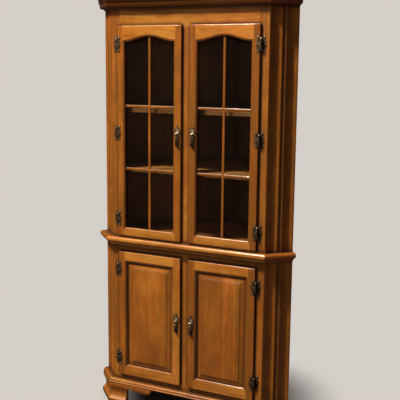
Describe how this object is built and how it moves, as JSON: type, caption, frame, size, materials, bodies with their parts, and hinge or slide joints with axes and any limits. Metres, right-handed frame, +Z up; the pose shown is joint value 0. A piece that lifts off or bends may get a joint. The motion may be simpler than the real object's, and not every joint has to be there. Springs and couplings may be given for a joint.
{
  "type": "corner cupboard",
  "caption": "Two-stage corner cupboard with arched glazed doors over raised-panel doors, fluted canted sides, mouldings and ogee bracket feet.",
  "frame": {"origin": "on the floor, at the middle of the whole cupboard's box, doors shut", "axes": "+Z up; -Y out of the front, square to the doors; +Y towards the rear corner; +X to the right as seen from the front"},
  "size_m": [1.0328, 0.6266, 1.9303],
  "materials": {
    "case_wood": "satin lacquered honey-brown hardwood with a straight grain",
    "door_wood": "satin lacquered honey-brown hardwood with a straight grain",
    "inside_wood": "stained wood, matt, darker than the outside",
    "glass": "clear flat window glass",
    "antique_brass": "antique brass, darkened in the recesses and rubbed bright on the edges"
  },
  "bodies": {
    "case": {"left_stile": "case_wood", "right_stile": "case_wood", "upper_mullion": "case_wood", "lower_mullion": "case_wood", "frieze_rail": "case_wood", "waist_rail": "case_wood", "base_rail": "case_wood", "left_pilaster": "case_wood", "right_pilaster": "case_wood", "left_back": "inside_wood", "right_back": "inside_wood", "top_board": "inside_wood", "high_shelf": "inside_wood", "low_shelf": "inside_wood", "middle_deck": "inside_wood", "bottom_board": "inside_wood", "crown_moulding": "case_wood", "waist_moulding": "case_wood", "base_moulding": "case_wood", "left_foot": "case_wood", "right_foot": "case_wood", "rear_foot": "inside_wood", "upper_left_top_hinge_frame_leaf": "antique_brass", "upper_left_middle_hinge_frame_leaf": "antique_brass", "upper_left_bottom_hinge_frame_leaf": "antique_brass", "upper_right_top_hinge_frame_leaf": "antique_brass", "upper_right_middle_hinge_frame_leaf": "antique_brass", "upper_right_bottom_hinge_frame_leaf": "antique_brass", "lower_left_top_hinge_frame_leaf": "antique_brass", "lower_left_bottom_hinge_frame_leaf": "antique_brass", "lower_right_top_hinge_frame_leaf": "antique_brass", "lower_right_bottom_hinge_frame_leaf": "antique_brass"},
    "upper_left_door": {"upper_left_door_frame": "door_wood", "upper_left_glazing_bars": "door_wood", "upper_left_glass": "glass", "upper_left_pull_plate": "antique_brass", "upper_left_top_hinge_door_leaf": "antique_brass", "upper_left_middle_hinge_door_leaf": "antique_brass", "upper_left_bottom_hinge_door_leaf": "antique_brass"},
    "upper_right_door": {"upper_right_door_frame": "door_wood", "upper_right_glazing_bars": "door_wood", "upper_right_glass": "glass", "upper_right_pull_plate": "antique_brass", "upper_right_top_hinge_door_leaf": "antique_brass", "upper_right_middle_hinge_door_leaf": "antique_brass", "upper_right_bottom_hinge_door_leaf": "antique_brass"},
    "lower_left_door": {"lower_left_door_frame": "door_wood", "lower_left_panel": "door_wood", "lower_left_pull_plate": "antique_brass", "lower_left_top_hinge_door_leaf": "antique_brass", "lower_left_bottom_hinge_door_leaf": "antique_brass"},
    "lower_right_door": {"lower_right_door_frame": "door_wood", "lower_right_panel": "door_wood", "lower_right_pull_plate": "antique_brass", "lower_right_top_hinge_door_leaf": "antique_brass", "lower_right_bottom_hinge_door_leaf": "antique_brass"},
    "upper_left_drop": {"upper_left_pull_drop": "antique_brass"},
    "upper_right_drop": {"upper_right_pull_drop": "antique_brass"},
    "lower_left_drop": {"lower_left_pull_drop": "antique_brass"},
    "lower_right_drop": {"lower_right_pull_drop": "antique_brass"}
  },
  "joints": [
    {"name": "upper_left_door_hinge", "type": "hinge", "parent": "case", "child": "upper_left_door", "pos_m": [-0.3495, -0.26845, 1.2978], "axis": [0, 0, -1], "range_deg": [0, 145]},
    {"name": "upper_right_door_hinge", "type": "hinge", "parent": "case", "child": "upper_right_door", "pos_m": [0.3495, -0.26845, 1.2978], "axis": [0, 0, 1], "range_deg": [0, 145]},
    {"name": "lower_left_door_hinge", "type": "hinge", "parent": "case", "child": "lower_left_door", "pos_m": [-0.3495, -0.26845, 0.4448], "axis": [0, 0, -1], "range_deg": [0, 145]},
    {"name": "lower_right_door_hinge", "type": "hinge", "parent": "case", "child": "lower_right_door", "pos_m": [0.3495, -0.26845, 0.4448], "axis": [0, 0, 1], "range_deg": [0, 145]},
    {"name": "upper_left_drop_pivot", "type": "hinge", "parent": "upper_left_door", "child": "upper_left_drop", "pos_m": [-0.03725, -0.27865, 1.3078], "axis": [-1, 0, 0], "range_deg": [0, 80]},
    {"name": "upper_right_drop_pivot", "type": "hinge", "parent": "upper_right_door", "child": "upper_right_drop", "pos_m": [0.03725, -0.27865, 1.3078], "axis": [-1, 0, 0], "range_deg": [0, 80]},
    {"name": "lower_left_drop_pivot", "type": "hinge", "parent": "lower_left_door", "child": "lower_left_drop", "pos_m": [-0.03725, -0.27865, 0.4548], "axis": [-1, 0, 0], "range_deg": [0, 80]},
    {"name": "lower_right_drop_pivot", "type": "hinge", "parent": "lower_right_door", "child": "lower_right_drop", "pos_m": [0.03725, -0.27865, 0.4548], "axis": [-1, 0, 0], "range_deg": [0, 80]}
  ]
}
